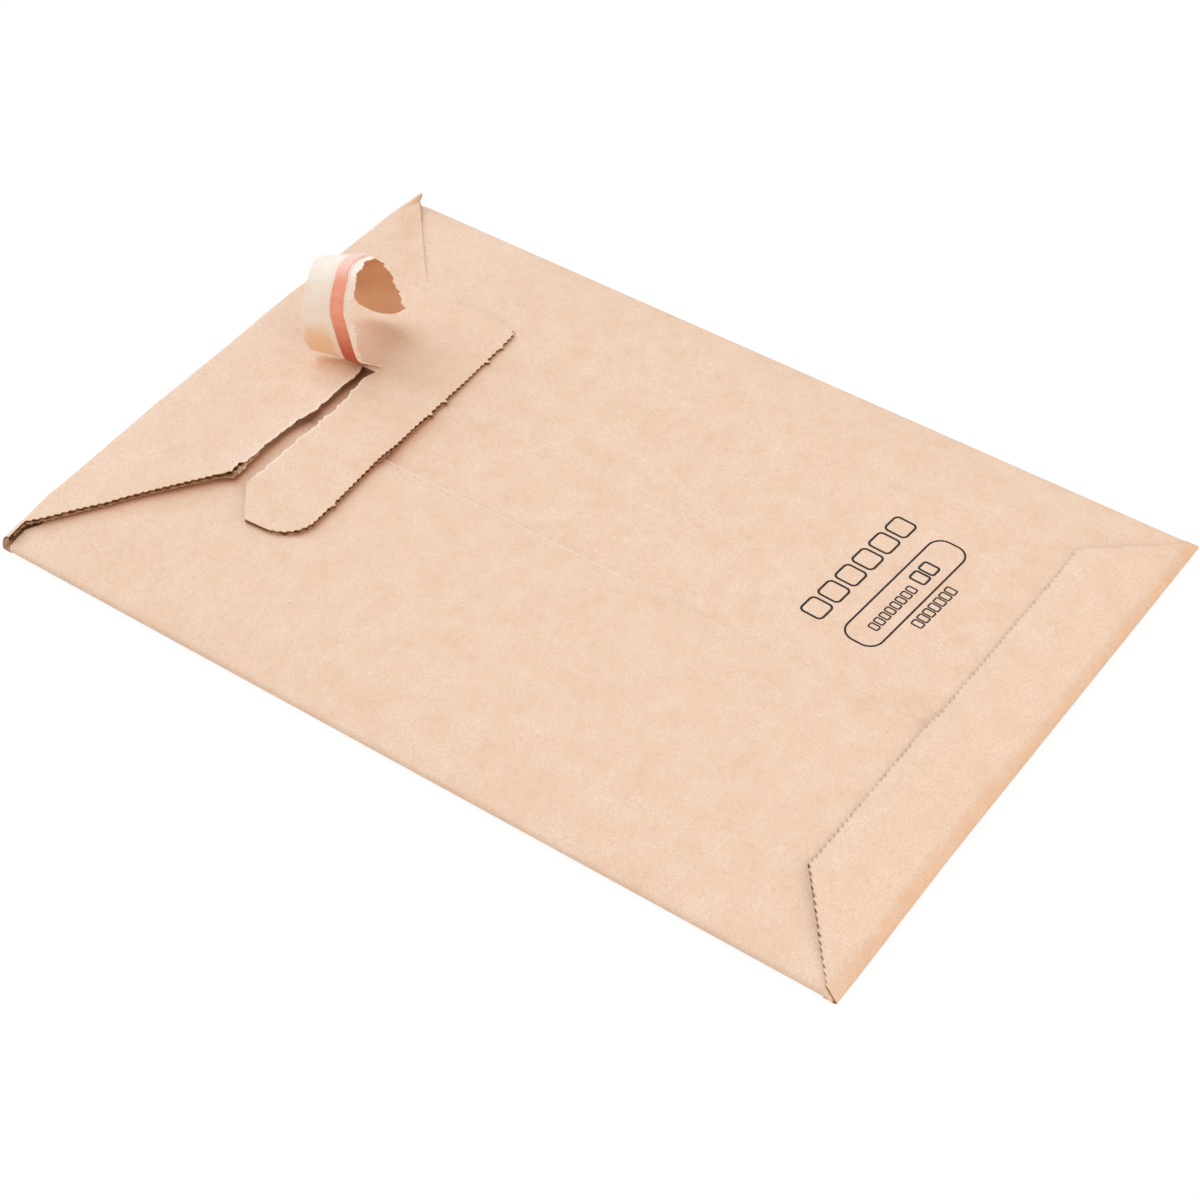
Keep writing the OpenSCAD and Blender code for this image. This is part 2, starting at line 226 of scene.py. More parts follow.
def mix(tree, share, first, second):
    """First colour, covered by the second by a share."""
    made = tree.nodes.new("ShaderNodeMix")
    made.data_type = "RGBA"
    connect(tree, share, made.inputs[0])
    connect(tree, first, made.inputs[6])
    connect(tree, second, made.inputs[7])
    return made.outputs[2]


def remap(tree, value, low, high, out_low=0.0, out_high=1.0):
    made = add(tree, "ShaderNodeMapRange", From_Min=low, From_Max=high, To_Min=out_low, To_Max=out_high)
    tree.links.new(value, made.inputs["Value"])
    return made.outputs["Result"]


def maths(tree, operation, first, second):
    made = tree.nodes.new("ShaderNodeMath")
    made.operation = operation
    connect(tree, first, made.inputs[0])
    connect(tree, second, made.inputs[1])
    return made.outputs[0]


def grain(tree, coords, size, detail=3.0, roughness=0.6):
    """Cloudy noise with features of a size in millimetres."""
    made = add(tree, "ShaderNodeTexNoise", Scale=1 / (size * MM), Detail=detail, Roughness=roughness,
               Vector=coords)
    return made.outputs["Fac"]


def fibres(tree, coords, angle, length, width, rarity):
    """Thin streaks of a length and width in millimetres."""
    turned = add(tree, "ShaderNodeMapping", Vector=coords, Rotation=(0, 0, math.radians(angle)))
    drawn = add(tree, "ShaderNodeMapping", Vector=turned.outputs[0],
                Scale=(1 / (length * MM), 1 / (width * MM), 1 / (length * MM)))
    streaks = add(tree, "ShaderNodeTexNoise", Scale=1.0, Detail=1.0, Distortion=0.6, Vector=drawn.outputs[0])
    return remap(tree, streaks.outputs["Fac"], rarity, rarity + 0.09)


def specks(tree, coords, spacing, size):
    """Small dots, in about a third of cells of a spacing in millimetres."""
    cells = add(tree, "ShaderNodeTexVoronoi", Scale=1 / (spacing * MM), Vector=coords)
    dots = remap(tree, cells.outputs["Distance"], size / spacing, 0.4 * size / spacing)
    parts = add(tree, "ShaderNodeSeparateColor", Color=cells.outputs["Color"])
    return maths(tree, "MULTIPLY", dots, remap(tree, parts.outputs[0], 0.62, 0.68))


def trait(tree, name):
    """A value that the mesh carries at each point."""
    return add(tree, "ShaderNodeAttribute", attribute_name=name).outputs["Fac"]


def start_material(name, roughness, specular=0.25):
    material = bpy.data.materials.new(name)
    material.use_nodes = True
    tree = material.node_tree
    shader = tree.nodes["Principled BSDF"]
    shader.inputs["Roughness"].default_value = roughness
    shader.inputs["Specular IOR Level"].default_value = specular
    coords = add(tree, "ShaderNodeTexCoord").outputs["Object"]
    return material, tree, shader, coords


def end_material(tree, shader, colour, height, depth):
    """Sets the colour, and a bump of a depth in millimetres."""
    tree.links.new(colour, shader.inputs["Base Color"])
    bump = add(tree, "ShaderNodeBump", Strength=1.0, Distance=depth * MM, Height=height)
    tree.links.new(bump.outputs["Normal"], shader.inputs["Normal"])


CREAM = rgb(250, 232, 214)
PALE = rgb(253, 231, 214)
FIBRE = rgb(205, 160, 126)
# Angle, length, width and strength of each layer of dark fibres
FIBRE_LAYERS = [(12, 2.6, 0.16, 0.40), (74, 2.0, 0.14, 0.32), (131, 3.0, 0.17, 0.36)]


def kraft(name, light, dark, blush):
    """Uncoated liner: clouds, fine fibres and a few specks, with bare places that also carry painted light,
    painted warm shade, painted brown shade, painted dark lines of shade and torn places.
    """
    material, tree, shader, coords = start_material(name, 0.86)
    clouds = grain(tree, coords, 9, 6, 0.75)
    fine = grain(tree, coords, 0.6, 3, 0.75)
    colour = mix(tree, remap(tree, clouds, 0.25, 0.75), dark, light)
    colour = mix(tree, trait(tree, "bare_and_painted_light"), colour, PALE)
    tint = grain(tree, coords, 2.2, 3, 0.7)
    colour = mix(tree, remap(tree, tint, 0.42, 0.7, 0, 0.5), colour, blush)
    colour = mix(tree, remap(tree, fine, 0.36, 0.70, 0, 0.9), colour, dark)
    streaks = None
    for angle, length, width, share in FIBRE_LAYERS:
        layer = fibres(tree, coords, angle, length, width, 0.66)
        colour = mix(tree, maths(tree, "MULTIPLY", layer, share), colour, FIBRE)
        streaks = layer if streaks is None else maths(tree, "ADD", streaks, layer)
    pale = fibres(tree, coords, 40, 2.4, 0.15, 0.68)
    colour = mix(tree, maths(tree, "MULTIPLY", pale, 0.35), colour, CREAM)
    dots = specks(tree, coords, 9, 0.34)
    colour = mix(tree, maths(tree, "MULTIPLY", dots, 0.5), colour, rgb(150, 108, 80))
    blotch = remap(tree, grain(tree, coords, 5, 3), 0.35, 0.62, 0.3, 1)
    # Painted warm shade, in blotches, on the face of the bottom fold
    painted_warm_shade = maths(tree, "MULTIPLY", trait(tree, "painted_warm_shade"), blotch)
    colour = mix(tree, painted_warm_shade, colour, rgb(231, 178, 128))
    # Painted shade: brown beside the flap's edges, in the torn slot, beside the tab, inside the curl and on
    # the tear strip's inner ply near the tear
    colour = mix(tree, trait(tree, "painted_shade"), colour, rgb(190, 106, 50))
    # Painted shade: dark lines along the torn slot and the far slant, and dashes along the bottom flap's
    # toothed edge
    colour = mix(tree, trait(tree, "cut"), colour, rgb(126, 84, 56))
    fluff = remap(tree, grain(tree, coords, 0.5, 2), 0.25, 0.6, 0.55, 1)
    colour = mix(tree, maths(tree, "MULTIPLY", trait(tree, "torn"), fluff), colour, CREAM)
    height = maths(tree, "ADD", fine, maths(tree, "MULTIPLY", streaks, 0.5))
    end_material(tree, shader, colour, height, 0.03)
    return material


def torn_paper(name):
    """Pulled fibres of a torn ply: cream, with tan places where the ply below stayed on."""
    material, tree, shader, coords = start_material(name, 0.92, 0.15)
    fluff = grain(tree, coords, 0.8, 4, 0.7)
    clouds = grain(tree, coords, 4, 3)
    colour = mix(tree, remap(tree, clouds, 0.35, 0.65), rgb(255, 236, 219), rgb(255, 244, 232))
    colour = mix(tree, remap(tree, fluff, 0.5, 0.85, 0, 0.3), colour, rgb(236, 206, 182))
    edge = maths(tree, "ADD", trait(tree, "tan"), remap(tree, clouds, 0.3, 0.7, -0.2, 0.2))
    colour = mix(tree, remap(tree, edge, 0.25, 0.95, 0, 0.9), colour, rgb(247, 208, 171))
    end_material(tree, shader, colour, fluff, 0.12)
    return material


def plain_fibre(name, light, dark, size, depth, roughness=0.9):
    """Cut or fluted paper, with a fibrous grain of a size in millimetres, torn places and a near black
    painted shade.
    """
    material, tree, shader, coords = start_material(name, roughness, 0.15)
    fine = grain(tree, coords, size, 4, 0.7)
    colour = mix(tree, remap(tree, fine, 0.3, 0.7), dark, light)
    colour = mix(tree, trait(tree, "torn"), colour, rgb(226, 186, 152))
    # Painted shade: near black on the tear strip's flutes and inner ply near the point of the tear
    colour = mix(tree, trait(tree, "painted_shade"), colour, rgb(40, 22, 14))
    end_material(tree, shader, colour, fine, depth)
    return material


def tape_film(name):
    """Thin salmon film with the fibres of the board showing through, a painted deep red shade and a painted
    pale highlight where the mesh carries them.
    """
    material, tree, shader, coords = start_material(name, 0.38, 0.5)
    clouds = grain(tree, coords, 2.2, 3)
    fine = grain(tree, coords, 0.35, 2)
    colour = mix(tree, remap(tree, clouds, 0.3, 0.7), rgb(242, 150, 118), rgb(250, 172, 144))
    colour = mix(tree, remap(tree, fine, 0.55, 0.8, 0, 0.4), colour, rgb(248, 188, 164))
    colour = mix(tree, trait(tree, "deep"), colour, rgb(190, 76, 36))
    colour = mix(tree, trait(tree, "faded"), colour, rgb(250, 214, 202))
    end_material(tree, shader, colour, fine, 0.03)
    return material


def ink(name):
    """Dark printing ink, thinner where the fibres stand up."""
    material, tree, shader, coords = start_material(name, 0.7)
    fine = grain(tree, coords, 0.3, 3)
    colour = mix(tree, remap(tree, fine, 0.45, 0.8, 0, 0.5), rgb(44, 36, 34), rgb(112, 86, 72))
    end_material(tree, shader, colour, fine, 0.01)
    return material


KRAFT = kraft("kraft_outer_face", rgb(255, 230, 210), rgb(234, 198, 168), rgb(249, 215, 197))
KRAFT_INSIDE = kraft("kraft_inner_face", rgb(234, 198, 170), rgb(222, 184, 152), rgb(230, 190, 166))
# Painted shade: a darker, deeper brown copy of the outer face for the inside of the curl
KRAFT_CURL_PAINTED_SHADE = kraft("kraft_curl_face_painted_shade", rgb(244, 206, 172), rgb(226, 182, 144), rgb(236, 190, 156))
TORN = torn_paper("torn_fibres")
CUT = plain_fibre("cut_liner_edge", rgb(208, 164, 126), rgb(168, 120, 84), 0.5, 0.04)
# Brown of the fluted medium, made darker as painted shade for the shade in the flute openings
MEDIUM_AND_PAINTED_SHADE = plain_fibre("fluted_medium_and_painted_shade", rgb(136, 94, 62), rgb(98, 64, 40), 0.9, 0.03)
GLUE = plain_fibre("dried_glue", rgb(240, 228, 196), rgb(226, 208, 168), 2.0, 0.05, 0.5)
TAPE = tape_film("tear_tape_film")
INK = ink("printing_ink")

# Materials of the upper face, lower face and rim of a sheet
OUTER_PLY = [KRAFT, KRAFT_INSIDE, CUT]
INNER_PLY = [KRAFT_INSIDE, KRAFT_INSIDE, CUT]
FLUTES = [MEDIUM_AND_PAINTED_SHADE] * 3


# Meshes
def put(name, data):
    """A new object in the scene."""
    made = bpy.data.objects.new(name, data)
    bpy.context.scene.collection.objects.link(made)
    return made


def slab(name, upper, lower, materials, traits=None):
    """Closed sheet between two grids of points, with materials for the upper face, lower face and rim."""
    nx, ny = upper.shape[:2]
    count = nx * ny
    points = np.concatenate([upper.reshape(-1, 3), lower.reshape(-1, 3)]) * MM
    index = np.arange(count).reshape(nx, ny)
    over = np.stack([index[:-1, :-1], index[1:, :-1], index[1:, 1:], index[:-1, 1:]], -1).reshape(-1, 4)
    under = over[:, ::-1] + count
    loop = np.concatenate([index[:, 0], index[-1, 1:], index[-2::-1, -1], index[0, -2:0:-1]])
    after = np.roll(loop, -1)
    rim = np.stack([loop, loop + count, after + count, after], -1)
    mesh = bpy.data.meshes.new(name)
    mesh.from_pydata(points.tolist(), [], np.concatenate([over, under, rim]).tolist())
    slots = np.repeat([0, 1, 2], [len(over), len(under), len(rim)])
    mesh.polygons.foreach_set("material_index", slots.astype(np.int32))
    for key, values in (traits or {}).items():
        layer = mesh.attributes.new(key, "FLOAT", "POINT")
        layer.data.foreach_set("value", np.tile(values.ravel(), 2).astype(np.float32))
    for material in materials:
        mesh.materials.append(material)
    shaped = bmesh.new()
    shaped.from_mesh(mesh)
    bmesh.ops.remove_doubles(shaped, verts=shaped.verts, dist=1e-7)
    bmesh.ops.recalc_face_normals(shaped, faces=shaped.faces)
    shaped.to_mesh(mesh)
    shaped.free()
    mesh.shade_smooth()
    mesh.set_sharp_from_angle(angle=math.radians(38))
    return put(name, mesh)


def flat_slab(name, x, y, upper_z, lower_z, materials):
    """Closed sheet between two heights over the same places."""
    return slab(name, np.stack([x, y, upper_z], -1), np.stack([x, y, lower_z], -1), materials)


def jag(places, pitch, size, seed):
    """Ragged offsets along an edge, with teeth of a pitch and a size in millimetres."""
    return np.array([size * noise.fractal(Vector((p / pitch, seed, 0.5)), 0.8, 2.1, 4) for p in places])


def ease(value, low, high):
    """Smooth step from 0 at the low value to 1 at the high one."""
    share = np.clip((value - low) / (high - low), 0, 1)
    return share * share * (3 - 2 * share)


def dot(x, y, at_x, at_y, wide_x, wide_y):
    """A smooth hump, 1 at its middle."""
    return np.exp(-((x - at_x) / wide_x) ** 2 - ((y - at_y) / wide_y) ** 2)


# Surfaces
def shoulder(x):
    """Slope of the back from a long fold, 0, to the flat middle, 1."""
    return np.sin(np.pi / 2 * np.clip((tangent_x - np.abs(x)) / shoulder_w, 0, 1))


def uneven(x, y):
    """Slow waves of a board that has been handled."""
    return uneven_h * np.sin(x / 21 + y / 43 + 0.6) * np.sin(y / 29 - x / 61 + 1.1)


def back_height(x, y, top):
    """Outer face of the back: low at the bottom end and the near mouth corner, high at the far one."""
    rise = shoulder(x)
    slope = np.sin(np.pi / 2 * np.clip((y + fold_y) / bottom_slope_w, 0, 1))
    far_corner = far_rise_h * dot(x, y, far_rise_x, fold_y, far_rise_w, corner_bend_l)
    far_corner = far_corner * ease(tangent_x - x, 0, 4)
    near_corner = near_dip_h * dot(x, y, near_dip_x, fold_y, near_dip_w, corner_bend_l)
    near_corner = near_corner * ease(tangent_x + x, 0, 4)
    bulge = (far_top - fold_top + uneven(x, y)) * slope + top - far_top
    return fold_top + bulge * rise + far_corner - near_corner + ripple * np.cos(2 * np.pi * x / flute_pitch)


def flap_height(x, y):
    """Outer face of a flap, which comes down past the seam from the near half to the far half."""
    drape = ease(x, drape_x, drape_x + drape_w)
    return back_height(x, y, near_top + (far_top - near_top) * drape) + flap_step


def wave(x):
    """Depth of the fluted medium's upper face under the board's outer face."""
    return liner_t + (flute_h - medium_t) * (1 - np.cos(2 * np.pi * x / flute_pitch)) / 2


def laid(height, depth, distance, press, reach, burr):
    """Height of a ply of a flap: its cut edges have a burr, and some are pressed down on the back."""
    hang = depth * (1 + burr * np.exp(-(distance / burr_w) ** 2))
    return height - flap_step + (flap_step - hang) * (1 - press * np.exp(-(distance / reach) ** 2))


# Rows of points along the back, as shares of its length: close at its ends and under the closure flap
end_rows = np.array([0, 0.3, 0.7, 1.1, 1.6, 2.2, 3, 4, 6, 10]) / mailer_l
middle_rows = np.linspace(0.06, 0.73, 32)
flap_end_rows = np.linspace(0.74, 0.985, 84)
panel_rows = np.unique(np.concatenate([end_rows, middle_rows, flap_end_rows, 1 - end_rows[::-1]]))


def crush(x, side):
    """Share of the board's thickness that is left near the lap's edge, which is pressed down."""
    return 1 - crush_share * np.exp(-((x - seam_x) / crush_w) ** 2) * (side < 0)


def tab_axes(x, y):
    """Places along and across the tab, from its far end."""
    u = (x - tab_x) * math.cos(tab_skew) + (y - tab_start_y) * math.sin(tab_skew)
    v = (y - tab_start_y) * math.cos(tab_skew) - (x - tab_x) * math.sin(tab_skew)
    return u, v


def tab_place(u, v):
    """Places on the mailer of places along and across the tab."""
    x = tab_x + u * math.cos(tab_skew) - v * math.sin(tab_skew)
    y = tab_start_y + u * math.sin(tab_skew) + v * math.cos(tab_skew)
    return x, y


def tab_drop(u):
    """How far the tab's rounded corners, and a dent between them, draw back from its outer edge."""
    near = np.clip(u + tab_w, 0, tab_corner_r)
    far = np.clip(-u, 0, tab_far_corner_r)
    drop = tab_corner_r - np.sqrt(tab_corner_r ** 2 - (tab_corner_r - near) ** 2)
    dent = tab_dent_d * np.exp(-((u + tab_x - tab_dent_x) / tab_dent_w) ** 2)
    return dent + drop + tab_far_corner_r - np.sqrt(tab_far_corner_r ** 2 - (tab_far_corner_r - far) ** 2)


def far_slant(x):
    """Edge of the closure flap from the tab's far end to the far mouth corner."""
    return np.interp(x, [tab_x, far_bend_x, mouth_far_x], [flap_far_y, fold_y - far_bend_d, fold_y])


def painted_shade(x, y):
    """Painted brown shade on the back beside the flap's slants, in the torn slot and beside the tab."""
    line = np.interp(x, slant_x, slant_y)
    slot = np.interp(x, *slot_shade) * np.exp(-np.maximum(line - y, 0) / np.interp(x, *slot_shade_w))
    slot = slot * ease(y - line + 14, 0, 6) * ease(line + 2.5 - y, 0, 2.5)
    u, v = tab_axes(x, y)
    below = np.abs(v + tab_d - tab_drop(u)) / np.interp(x, *tab_shade_w)
    tab = np.interp(x, *tab_shade) * np.exp(-below)
    tab = tab * ease(u, 1 - tab_w, 4 - tab_w) * ease(-u, 0, 6)
    far = far_shade * np.exp(-np.abs(far_slant(x) - y) / far_shade_w)
    far = far * ease(x, tab_x + 4, tab_x + 10) * ease(88 - x, 0, 4)
    return np.maximum(np.maximum(slot, tab), far)


def slot_line(x, y):
    """Painted dark line in the slot along the flap's torn edge, which grows to the point of the tear."""
    below = np.interp(x, slant_x, slant_y) - y
    fade = np.exp(-np.maximum(below - 0.5, 0) / np.interp(x, *slot_line_w))
    return np.interp(x, *slot_line_shade) * fade * ease(below + 2, 0, 2)


def back_wear_and_painted_light(x, y, side):
    """Painted shade, painted dark lines of shade, a far corner made paler as painted light, and the torn
    edge of the lap, on the back's outer face.
    """
    # Painted light: the far corner by the mouth is made paler
    bare_and_painted_light = 0.4 * ease(y, 70, 115) * ease(x, 50, 75)
    torn = np.zeros_like(x)
    torn[0] = 0.75 * ease(y[0], -50, -10) * ease(84 - y[0], 0, 8) * (side < 0)
    return {"painted_shade": painted_shade(x, y), "cut": slot_line(x, y), "bare_and_painted_light": bare_and_painted_light, "torn": torn}


# Back halves with their long folds
def back_half(name, side, inner_x, top):
    """One ply from its inner edge over the shoulder and round the long fold to the front."""
    panel_x = np.arange(inner_x, side * (tangent_x - 0.5), side * flute_pitch / 4)
    turn = np.radians(np.linspace(60, -90, 14))
    radius = fold_top / 2
    across = np.concatenate([panel_x, side * (tangent_x + radius * np.cos(turn))])
    fold_z = radius + radius * np.sin(turn)
    flat = len(panel_x)
    # Beside the end folds the panel runs on under their ends
    tuck = ease(np.abs(across), flap_root_x - 5, flap_root_x)
    outer = ease(np.abs(across), flap_root_x, tangent_x)
    low_y = panel_y0 + (-fold_y - 1.0 - 1.7 * outer - panel_y0) * tuck
    mouth_end = fold_y + fold_d * outer if side > 0 else fold_y - 0.3
    high_y = panel_y1 + (mouth_end - panel_y1) * tuck
    y = low_y[:, None] + (high_y - low_y)[:, None] * panel_rows[None, :]
    x = np.repeat(across[:, None], y.shape[1], 1)
    z = np.repeat(np.concatenate([panel_x * 0, fold_z])[:, None], y.shape[1], 1)
    thick = board_t * crush(x[:flat], side)
    z[:flat] = back_height(x[:flat], y[:flat], top) - board_t + thick
    low_x, low_z = x.copy(), z - liner_t
    low_x[flat:] = (side * (tangent_x + fold_gap / 2 * np.cos(turn)))[:, None]
    low_z[flat:] = (radius + fold_gap / 2 * np.sin(turn))[:, None]
    past = np.clip((np.abs(y) - fold_y) / fold_d, 0, 1)
    taper = 1 - np.where(y > 0, 0.1, 0.8) * past
    z, low_z = z * taper, low_z * taper
    piece = slab(name, np.stack([x, y, z], -1), np.stack([low_x, y, low_z], -1), OUTER_PLY,
                 back_wear_and_painted_light(x, y, side))
    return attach(piece, "pocket")


near_back = back_half("near_back_liner", -1, seam_x, near_top)
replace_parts(near_back, "near_back_outer_liner", "near_side_fold")
far_back = back_half("far_back_liner", 1, lap_x, far_top)
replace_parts(far_back, "far_back_outer_liner", "far_side_fold")


def back_ply(name, node, side, inner_x, top, upper, lower, material):
    """Flutes or inner liner of one back half, between two depths."""
    across = np.arange(inner_x, side * (tangent_x - 0.5), side * flute_pitch / 8)
    x, y = np.meshgrid(across, panel_y0 + (panel_y1 - panel_y0) * panel_rows, indexing="ij")
    low = back_height(x, y, top) - board_t
    upper_z = low + (board_t - upper(x)) * crush(x, side)
    lower_z = low + (board_t - lower(x)) * crush(x, side)
    sheet = flat_slab(name, x, y, upper_z, lower_z, [material] * 3)
    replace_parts(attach(sheet, "pocket"), node)


def inner_plies():
    """Flutes and inner liners of both back halves."""
    for half, side, inner_x, top in [("near", -1, seam_x, near_top), ("far", 1, lap_x, far_top)]:
        back_ply(half + "_back_flutes", half + "_back_fluting", side, inner_x, top,
                 wave, lambda x: wave(x) + medium_t, MEDIUM_AND_PAINTED_SHADE)
        back_ply(half + "_back_inner_ply", half + "_back_inner_liner", side, inner_x, top,
                 lambda x: board_t - liner_t, lambda x: board_t, KRAFT_INSIDE)


inner_plies()


def seam_film():
    """Glue of the lengthwise lap."""
    x, y = np.meshgrid(np.linspace(lap_x + glue_margin, seam_x - glue_margin, 9),
                       np.linspace(panel_y0 + glue_margin, panel_y1 - glue_margin, 60), indexing="ij")
    z = back_height(x, y, far_top) + film_gap
    layer = flat_slab("seam_glue_film", x, y, z + seam_film_t, z, [GLUE] * 3)
    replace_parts(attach(layer, "pocket"), "seam_glue")


seam_film()


# Flaps that fold over an end
face_turn = np.radians(np.linspace(0, 90, 13))
crease_turn = np.radians(np.linspace(-90, 0, 5))
flap_rows = np.sin(np.linspace(0, np.pi / 2, 19))[1:]


def folded(x, edge_y, end, ends, corners, depth, height, press, reach, burr, blunt, bow=0.0):
    """Grid at a depth under a flap's outer face, from the front panel up the end fold to the flap's edge.

    A blunt fold is round up to its ends, and a bow pushes out its near end. Also gives the edge's distance.
    """
    depth = np.broadcast_to(depth, x.shape)[:, None]
    root_x = np.where(x < 0, ends[0], ends[1])
    corner = (np.where(x < 0, corners[0], corners[1]) / root_x)[:, None]
    straight = ease(np.abs(x), root_x - 9, root_x)[:, None] * (not blunt)
    crushed = depth * (1 - 0.5 * ease(np.abs(x), root_x - 2.5, root_x))[:, None]
    top = height(x, np.full_like(x, end * fold_y))[:, None]
    bend = np.maximum(crease_r - crushed, 0.05)
    start_z = crushed + bend
    crease_out = fold_d - crushed - bend + bend * np.cos(crease_turn)[None, :]
    crease_z = start_z + bend * np.sin(crease_turn)[None, :]
    share = face_turn[None, 1:] / (np.pi / 2)
    away = np.cos(face_turn)[None, 1:]
    rise = np.sin(face_turn)[None, 1:]
    away = away + (1 - share - away) * straight
    rise = rise + (share - rise) * straight
    face_z = start_z + (top - crushed - start_z) * rise
    out = np.concatenate([0 * depth, crease_out, (fold_d - crushed) * away], 1)
    fold_z = np.concatenate([crushed, crease_z, face_z], 1)
    level = np.zeros((len(x), len(crease_turn) + 1))
    fold_x = x[:, None] * (corner + (1 - corner) * np.concatenate([level, rise], 1))
    y = end * fold_y + (edge_y[:, None] - end * fold_y) * flap_rows[None, :]
    flat_x = np.repeat(x[:, None], y.shape[1], 1)
    steep = np.clip(np.gradient(edge_y, x), -1.3, 1.3)
    distance = np.abs(edge_y[:, None] - y) / np.sqrt(1 + steep ** 2)[:, None]
    z = laid(height(flat_x, y), depth, distance, press[:, None], reach, burr[:, None])
    bowed = bow * ease(-x, 30, root_x)[:, None] * out / fold_d
    fold = np.stack([fold_x, end * (fold_y + out + bowed), fold_z], -1)
    return np.concatenate([fold, np.stack([flat_x, y, z], -1)], 1), distance


def pad(values, fold_value=0.0):
    """Values on a flap's flat rows, after the rows of its end fold."""
    fold_rows = len(crease_turn) + len(face_turn)
    return np.concatenate([np.full((values.shape[0], fold_rows), fold_value), values], 1)


def columns(near_x, far_x, marks=()):
    """Places across a flap, eight to a flute, with a column at each mark."""
    even = np.linspace(-near_x, far_x, int(8 * (near_x + far_x) / flute_pitch) + 1)
    return np.unique(np.concatenate([even, marks]))


def teeth(x, edge_y):
    """Bites of a toothed knife along an edge, seen from above."""
    run = np.concatenate([[0], np.cumsum(np.hypot(np.diff(x), np.diff(edge_y)))])
    steep = np.minimum(np.sqrt(1 + np.gradient(edge_y, x) ** 2), 2.5)
    return tooth_d / 2 * (1 - np.cos(2 * np.pi * run / tooth_pitch)) * steep


def toothed(x, edge_y, end, share=1.0):
    """Edge of a flap that is cut with a toothed knife."""
    return end * np.minimum(end * edge_y + teeth(x, edge_y) * share, fold_y)


# Bottom flap
def bottom_edge(x):
    """Toothed edge of the bottom flap with its two slants."""
    plain = np.interp(np.abs(x), [bottom_corner_x, bottom_root_x], [bottom_edge_y, -fold_y])
    return toothed(x, plain, -1)


def bottom_height(x, y):
    """The flap's corners are pressed down on the long folds."""
    return flap_height(x, y) - 0.9 * ease(np.abs(x), bottom_corner_x + 8, bottom_root_x)


def bottom_plies():
    """Three plies of the bottom flap and its end fold."""
    x = columns(bottom_root_x, bottom_root_x, [-bottom_corner_x, bottom_corner_x])
    edge = bottom_edge(x)
    ends = (bottom_root_x, bottom_root_x)
    corners = (corner_x, bottom_far_x)
    press = 0.72 * ease(bottom_corner_x + 1 - np.abs(x), 0, 5)
    press = press + 0.3 * ease(x, bottom_corner_x - 4, bottom_corner_x + 2)
    burr = 0.15 * ease(-x, bottom_corner_x - 4, bottom_corner_x)

    def ply(depth):
        return folded(x, edge, -1, ends, corners, depth, bottom_height, press, bottom_press_l, burr, False,
                      bottom_bow)

    upper, distance = ply(0.0)
    rise = np.concatenate([np.zeros(len(crease_turn) + 1), np.sin(face_turn[1:]), np.ones(len(flap_rows))])
    # Painted warm shade on the face of the bottom fold, strongest at the crease
    painted_warm_shade = np.repeat(0.35 * (1 - rise)[None, :] ** 0.8, len(x), 0)
    # Painted shadows in the notches between the teeth, as dashes along the bottom flap's long edge
    dash = 0.4 + 0.5 * np.cos(2 * np.pi * x / tooth_pitch) + jag(x, 3, 0.7, 21.0)
    drawn = (0.6 - 0.22 * ease(x, -30, 20)) * np.clip(dash, 0, 1) * ease(bottom_corner_x + 2 - x, 0, 6)
    dashes = drawn[:, None] * ease(0.5 - distance, 0, 0.3)
    # Painted light: the whole bottom flap is made a little paler
    outer = slab("bottom_flap_liner", upper, ply(liner_t)[0], OUTER_PLY,
                 {"painted_warm_shade": painted_warm_shade, "cut": pad(dashes), "bare_and_painted_light": pad(np.full_like(distance, 0.2))})
    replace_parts(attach(outer, "pocket"), "bottom_flap_outer_liner", "bottom_fold")
    flutes = slab("bottom_flap_flutes", ply(wave(x))[0], ply(wave(x) + medium_t)[0], FLUTES)
    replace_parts(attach(flutes, "pocket"), "bottom_flap_fluting")
    inner = slab("bottom_flap_inner_ply", ply(board_t - liner_t)[0], ply(board_t)[0], INNER_PLY)
    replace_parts(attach(inner, "pocket"), "bottom_flap_inner_liner")


bottom_plies()


def film(name, node, x, y, gap, thickness, body, material):
    """Thin layer under a flap, at a gap over the back."""
    z = flap_height(x, y) - flap_step + gap
    layer = flat_slab(name, x, y, z + thickness, z, [material] * 3)
    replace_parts(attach(layer, body), node)


def bottom_glue():
    """Glue under the bottom flap."""
    across = np.arange(-bottom_corner_x, bottom_corner_x, 2.0)
    along = np.linspace(panel_y0 + glue_margin, bottom_edge_y - glue_margin, 12)
    x, y = np.meshgrid(across, along, indexing="ij")
    film("bottom_glue_film", "bottom_flap_glue", x, y, film_gap, bottom_film_t, "pocket", GLUE)


bottom_glue()


# Closure flap, with the height of the mouth fold at places across the mailer
mouth_x = [-92.6, -86, -75, -61, -35, 0, 20, 45, 75, 89.8]
mouth_z = [5.9, 6.8, 8.4, 8.9, 10.2, 10.8, 11.6, 11.3, 11.5, 10.3]


def mouth_top(x):
    """Height of the mouth fold, which is a little dented."""
    dents = np.array([noise.noise(Vector((a / 7, 4.2, 0))) for a in np.ravel(x)]).reshape(np.shape(x))
    return np.interp(x, mouth_x, mouth_z) + 0.3 * dents


def closure_height(x, y):
    """The stiff mouth fold bridges the shoulders, and the near torn corner stands up off the back."""
    at_fold = flap_height(x, np.full_like(x, fold_y))
    bridge = (mouth_top(x) - at_fold) * (1 - ease(fold_y - y, 0, 26 - 17 * ease(x, 45, 80)))
    lift = corner_lift * dot(x, y, torn_corner_x - 3, flap_edge_y, 24, 20) * ease(fold_y - y, 0, 18)
    return flap_height(x, y) + bridge + lift


